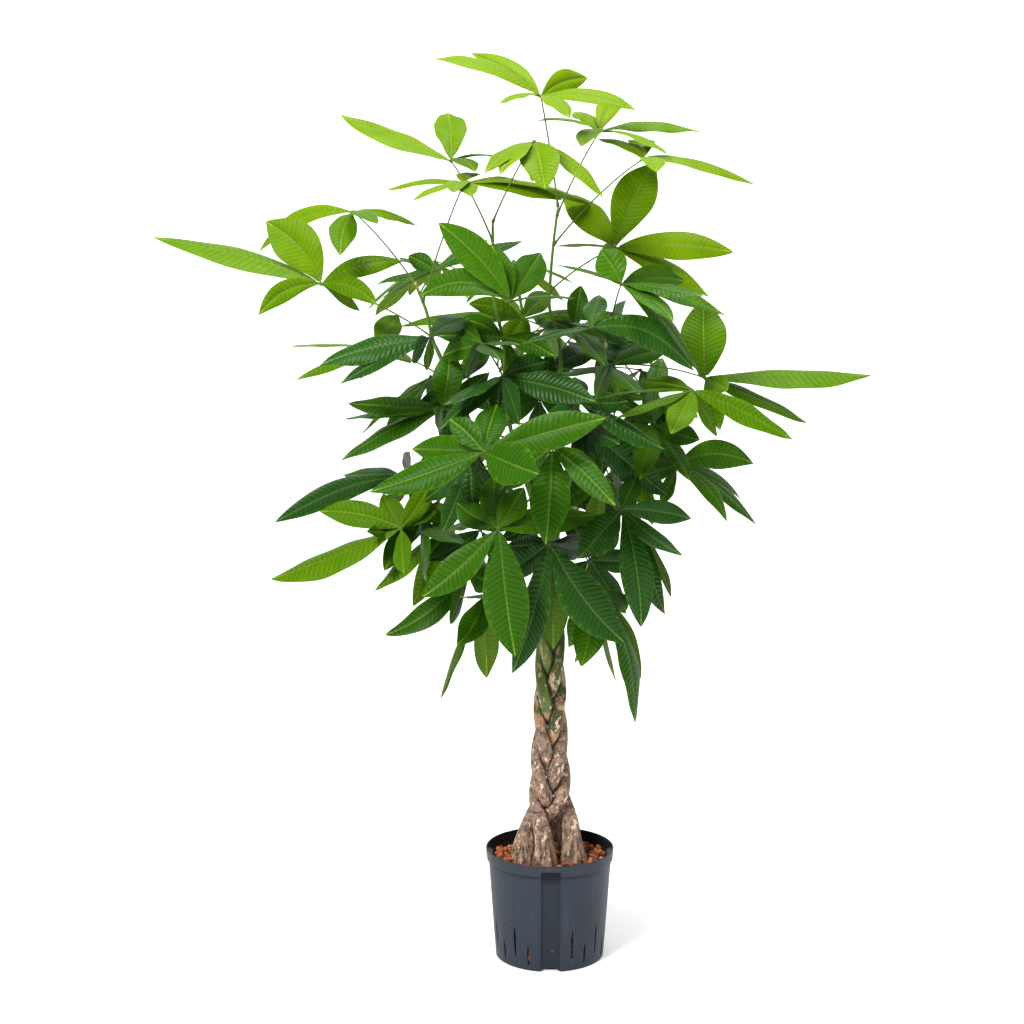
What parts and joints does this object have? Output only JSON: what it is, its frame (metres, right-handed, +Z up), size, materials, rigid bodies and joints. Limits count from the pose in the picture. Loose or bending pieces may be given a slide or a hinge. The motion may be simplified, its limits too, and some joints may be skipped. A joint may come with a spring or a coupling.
{
  "type": "potted money tree",
  "caption": "Standing house plant: braided trunk in a slotted plastic growing pot filled with clay granules, under a wide crown of long-stalked compound leaves",
  "frame": {"origin": "middle of the pot's underside, on the floor", "axes": "+Z up along the trunk, -Y towards the viewer of the picture, +X to that viewer's right"},
  "size_m": [1.1875, 0.8754, 1.5327],
  "materials": {
    "pot": "slate blue-grey moulded plastic with a soft sheen",
    "clay": "rough fired clay granules, red-brown",
    "bark": "smooth grey-brown bark with paler flaking patches",
    "leaf_light": "young leaf, bright yellow-green, slightly glossy",
    "leaf_middle": "grown leaf, mid green, glossy above",
    "leaf_dark": "old leaf, dark green, glossy above"
  },
  "bodies": {
    "root": {"pot": "pot", "clay_granules": "clay", "stem_back": "bark", "stem_front": "bark", "stem_left": "bark", "stem_hidden": "bark", "stem_right": "bark", "leaf_top_1": "leaf_light", "leaf_top_2": "leaf_light", "leaf_top_3": "leaf_light", "leaf_top_4": "leaf_light", "leaf_top_5": "leaf_light", "leaf_top_6": "leaf_light", "leaf_right_1": "leaf_light", "leaf_right_2": "leaf_middle", "leaf_right_3": "leaf_light", "leaf_right_4": "leaf_light", "leaf_right_5": "leaf_middle", "leaf_right_6": "leaf_dark", "leaf_right_7": "leaf_light", "leaf_right_8": "leaf_dark", "leaf_right_9": "leaf_middle", "leaf_right_10": "leaf_middle", "leaf_right_11": "leaf_dark", "leaf_left_1": "leaf_light", "leaf_left_2": "leaf_light", "leaf_left_3": "leaf_middle", "leaf_left_4": "leaf_light", "leaf_left_5": "leaf_dark", "leaf_left_6": "leaf_middle", "leaf_left_7": "leaf_middle", "leaf_front_1": "leaf_middle", "leaf_front_2": "leaf_light", "leaf_front_3": "leaf_middle", "leaf_front_4": "leaf_middle", "leaf_front_5": "leaf_middle", "leaf_front_6": "leaf_dark", "leaf_front_7": "leaf_dark", "leaf_front_8": "leaf_dark", "leaf_front_9": "leaf_middle", "leaf_inner_1": "leaf_middle", "leaf_inner_2": "leaf_dark", "leaf_inner_3": "leaf_dark", "leaf_inner_4": "leaf_dark", "leaf_inner_5": "leaf_dark", "leaf_low_left_1": "leaf_light", "leaf_low_left_2": "leaf_dark", "leaf_low_left_3": "leaf_light", "leaf_low_left_4": "leaf_middle", "leaf_low_left_5": "leaf_middle", "leaf_back_1": "leaf_light", "leaf_back_2": "leaf_light", "leaf_back_3": "leaf_light", "leaf_back_4": "leaf_middle", "leaf_back_5": "leaf_middle", "leaf_back_6": "leaf_middle", "leaf_back_7": "leaf_dark", "leaf_back_8": "leaf_dark", "leaf_back_9": "leaf_dark"}
  },
  "joints": []
}
